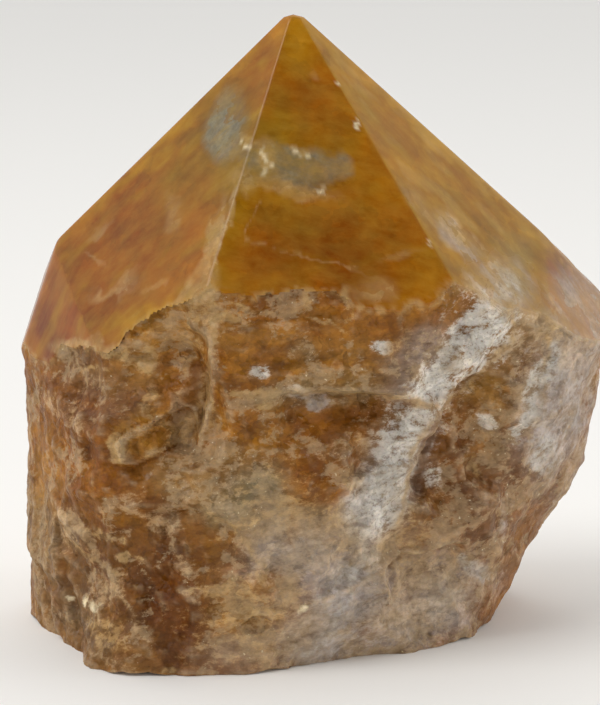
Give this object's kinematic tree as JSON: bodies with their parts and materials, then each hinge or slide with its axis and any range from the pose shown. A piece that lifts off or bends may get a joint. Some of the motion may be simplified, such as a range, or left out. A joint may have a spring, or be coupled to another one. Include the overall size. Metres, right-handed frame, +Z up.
{
  "type": "polished calcite point",
  "caption": "Free-standing lump of honey-orange calcite with its top ground to a faceted polished point, broken sides and a flat foot.",
  "frame": {"origin": "on the flat sawn foot, straight below the polished tip", "axes": "+Z up from the foot to the tip, -Y towards the broad polished front face"},
  "size_m": [0.092, 0.0628, 0.095],
  "materials": {
    "calcite": "translucent honey to orange calcite, glossy on the polished faces and waxy where broken, with pale crusts and grey-green and lavender-grey patches"
  },
  "bodies": {
    "root": {"orchid_calcite_point": "calcite"}
  },
  "joints": []
}
